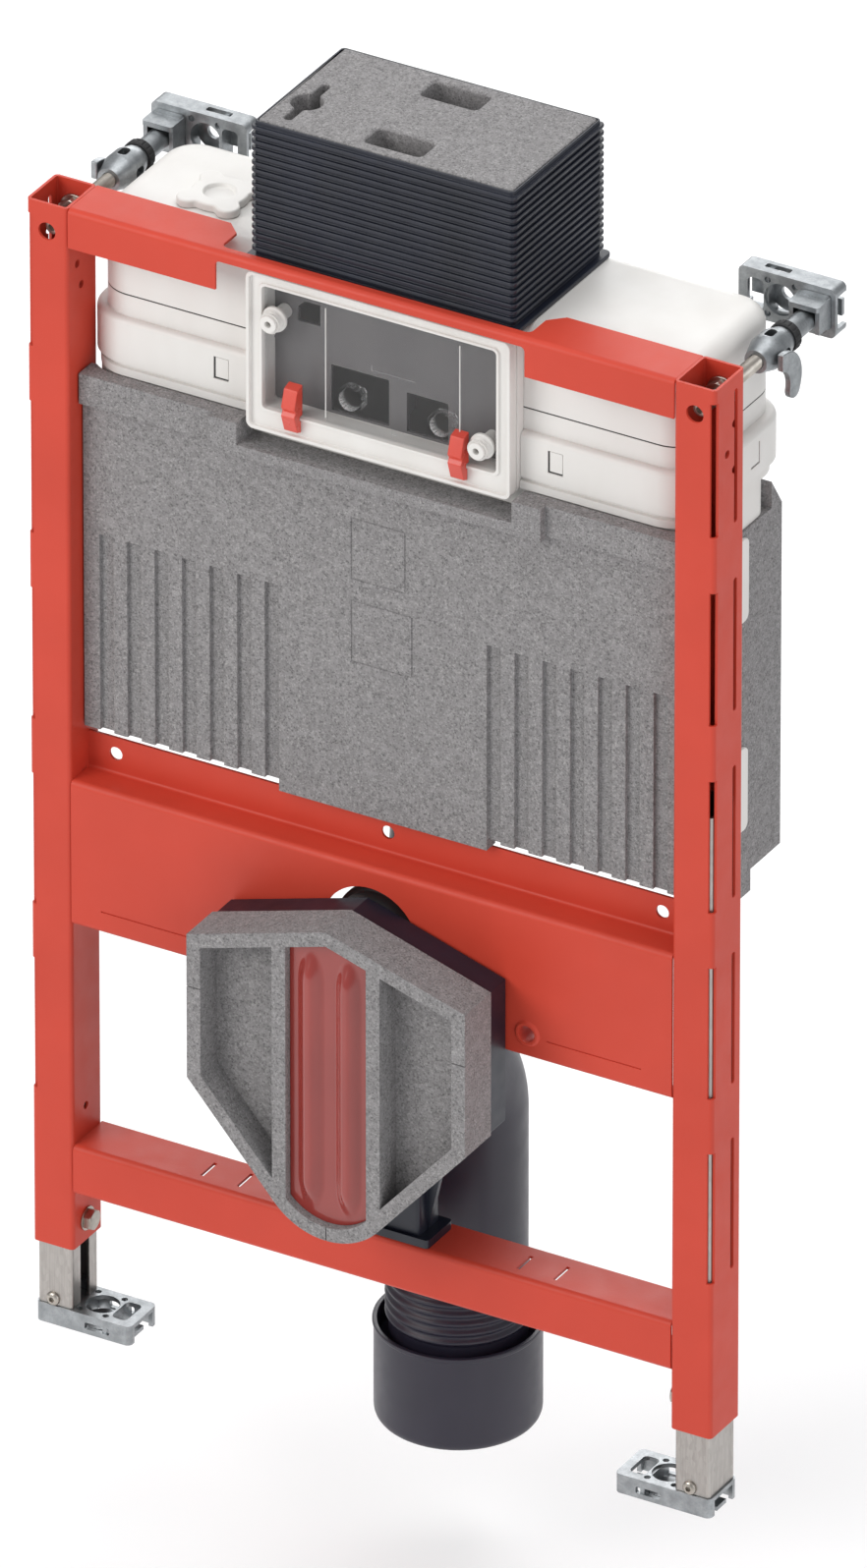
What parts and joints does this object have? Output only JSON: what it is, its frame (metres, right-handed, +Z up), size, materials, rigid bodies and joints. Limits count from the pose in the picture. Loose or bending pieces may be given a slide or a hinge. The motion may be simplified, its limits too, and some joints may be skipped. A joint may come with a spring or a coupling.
{
  "type": "wall hung toilet frame with concealed cistern",
  "caption": "Low steel frame on adjustable feet for a wall hung toilet, with a foam clad concealed cistern, service window and shaft, flush and drain bends and wall fixings.",
  "frame": {"origin": "where the axis of the left wall fixing meets the wall, on the wall side of its cast plate", "axes": "+X across the frame from left to right as seen by the user, +Y into the wall, +Z up"},
  "size_m": [0.5036, 0.2256, 0.9671],
  "materials": {
    "red_paint": "satin",
    "galvanised": "satin",
    "cast_zinc": "satin",
    "zinc_steel": "satin",
    "white_plastic": "satin",
    "grey_foam": "matt",
    "clear_plastic": "gloss",
    "grey_plastic": "satin",
    "red_plastic": "gloss",
    "black_plastic": "satin",
    "drain_plastic": "satin",
    "black_rubber": "matt"
  },
  "bodies": {
    "frame": {"top_bar": "red_paint", "lower_bar": "red_paint", "toilet_plate": "red_paint", "cistern_tank": "white_plastic", "cistern_cover": "white_plastic", "inlet_cap": "white_plastic", "foam_shell_front": "grey_foam", "foam_shell_back": "grey_foam", "service_frame": "white_plastic", "splash_panel": "clear_plastic", "panel_bulkhead": "grey_plastic", "service_nozzles": "white_plastic", "latch_left": "red_plastic", "latch_right": "red_plastic", "shaft_collar": "black_plastic", "foam_plug": "grey_foam", "bowl_cover": "grey_foam", "cover_insert": "red_plastic", "cover_backing": "black_plastic", "flush_bend": "black_plastic", "flush_coupling": "black_rubber", "drain_bend": "drain_plastic", "drain_cup": "drain_plastic", "drain_holder": "black_plastic", "post_right": "red_paint", "post_left": "red_paint", "clamp_bolt_right": "zinc_steel", "clamp_bolt_left": "zinc_steel", "wall_rod_right": "zinc_steel", "wall_rod_left": "zinc_steel", "swivel_head_right": "cast_zinc", "swivel_head_left": "cast_zinc", "lock_ring_right": "black_rubber", "lock_ring_left": "black_rubber", "lock_lever_right": "cast_zinc", "lock_lever_left": "cast_zinc", "wall_clip_right": "cast_zinc", "wall_clip_left": "cast_zinc", "wall_plate_right": "cast_zinc", "wall_plate_left": "cast_zinc", "side_clips_right": "white_plastic", "side_clips_left": "white_plastic"},
    "foot_left": {"foot_tube_left": "galvanised", "foot_plate_left": "cast_zinc"},
    "foot_right": {"foot_tube_right": "galvanised", "foot_plate_right": "cast_zinc"}
  },
  "joints": [
    {"name": "left_foot_slide", "type": "slide", "parent": "frame", "child": "foot_left", "axis": [0, 0, -1], "range_m": [-0.034, 0.15]},
    {"name": "right_foot_slide", "type": "slide", "parent": "frame", "child": "foot_right", "axis": [0, 0, -1], "range_m": [-0.034, 0.15]}
  ]
}
